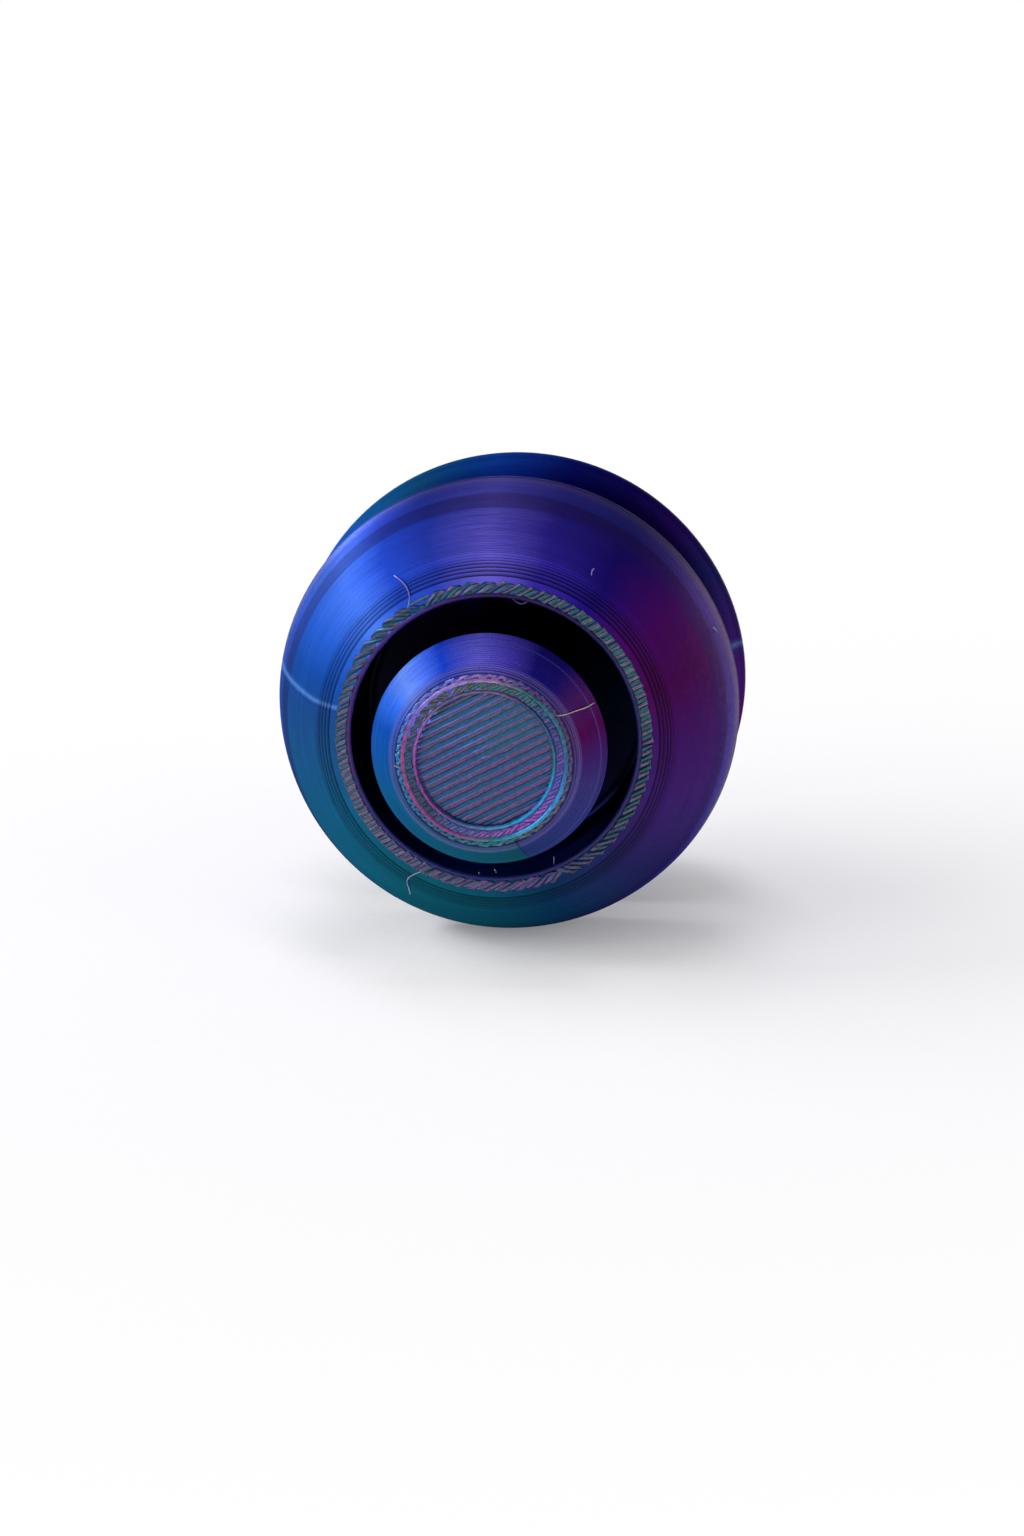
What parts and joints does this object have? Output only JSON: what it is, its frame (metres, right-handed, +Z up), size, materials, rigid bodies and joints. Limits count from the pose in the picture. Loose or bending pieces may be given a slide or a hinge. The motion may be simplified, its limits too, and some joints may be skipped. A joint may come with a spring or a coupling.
{
  "type": "bearing yo-yo with spinning side knobs",
  "caption": "Round-shouldered printed yo-yo: cupped halves on an axle, a ball bearing in the string gap, and a free-spinning knob on its own bearing at each side.",
  "frame": {"origin": "centre of the yo-yo, on the spin axis in the middle of the string gap", "axes": "+Y along the spin axis towards the rear half, +Z up, +X to the right seen from the front"},
  "size_m": [0.046, 0.0582, 0.046],
  "materials": {
    "silk_pla_half": "silk dual-colour printed PLA with fine layer lines",
    "silk_pla_knob": "silk dual-colour printed PLA with fine layer lines",
    "stainless_axle": "rolled stainless thread",
    "zinc_plated_nut": "bright zinc plate",
    "brass_seat": "turned",
    "aluminium_sleeve": "turned",
    "silicone_pad": "matt moulded silicone",
    "pressed_steel_cage": "pressed steel",
    "bearing_balls": "polished",
    "bearing_shield": "bright rolled sheet",
    "bearing_steel": "ground and polished"
  },
  "bodies": {
    "yoyo": {"axle": "stainless_axle", "front_bearing_seat": "brass_seat", "front_half": "silk_pla_half", "front_knob_bearing_inner_ring": "bearing_steel", "front_response_pad": "silicone_pad", "front_sleeve": "aluminium_sleeve", "hub_nuts": "zinc_plated_nut", "knob_nuts": "zinc_plated_nut", "knob_shims": "zinc_plated_nut", "rear_bearing_seat": "brass_seat", "rear_half": "silk_pla_half", "rear_knob_bearing_inner_ring": "bearing_steel", "rear_response_pad": "silicone_pad", "rear_sleeve": "aluminium_sleeve", "string_bearing_inner_ring": "bearing_steel"},
    "string_ring": {"string_bearing_clips": "bearing_shield", "string_bearing_outer_ring": "bearing_steel", "string_bearing_shields": "bearing_shield"},
    "string_bearing_ball_set": {"string_bearing_balls": "bearing_balls", "string_bearing_cage": "pressed_steel_cage"},
    "front_knob": {"front_knob": "silk_pla_knob", "front_knob_bearing_outer_ring": "bearing_steel", "front_knob_bearing_shields": "bearing_shield"},
    "front_knob_ball_set": {"front_knob_bearing_balls": "bearing_balls", "front_knob_bearing_cage": "pressed_steel_cage"},
    "rear_knob": {"rear_knob": "silk_pla_knob", "rear_knob_bearing_outer_ring": "bearing_steel", "rear_knob_bearing_shields": "bearing_shield"},
    "rear_knob_ball_set": {"rear_knob_bearing_balls": "bearing_balls", "rear_knob_bearing_cage": "pressed_steel_cage"}
  },
  "joints": [
    {"name": "string_ring_spin", "type": "hinge", "parent": "yoyo", "child": "string_ring", "pos_m": [0, 0, 0], "axis": [0, 1, 0], "continuous": true},
    {"name": "string_ball_set_spin", "type": "hinge", "parent": "yoyo", "child": "string_bearing_ball_set", "pos_m": [0, 0, 0], "axis": [0, 1, 0], "continuous": true},
    {"name": "front_knob_spin", "type": "hinge", "parent": "yoyo", "child": "front_knob", "pos_m": [0, -0.0226, 0], "axis": [0, 1, 0], "continuous": true},
    {"name": "front_ball_set_spin", "type": "hinge", "parent": "yoyo", "child": "front_knob_ball_set", "pos_m": [0, -0.0226, 0], "axis": [0, 1, 0], "continuous": true},
    {"name": "rear_knob_spin", "type": "hinge", "parent": "yoyo", "child": "rear_knob", "pos_m": [0, 0.0226, 0], "axis": [0, 1, 0], "continuous": true},
    {"name": "rear_ball_set_spin", "type": "hinge", "parent": "yoyo", "child": "rear_knob_ball_set", "pos_m": [0, 0.0226, 0], "axis": [0, 1, 0], "continuous": true}
  ],
  "couplings": [
    {"joint": "string_ball_set_spin", "follows": "string_ring_spin", "ratio": 0.5834},
    {"joint": "front_ball_set_spin", "follows": "front_knob_spin", "ratio": 0.6071},
    {"joint": "rear_ball_set_spin", "follows": "rear_knob_spin", "ratio": 0.6071}
  ]
}
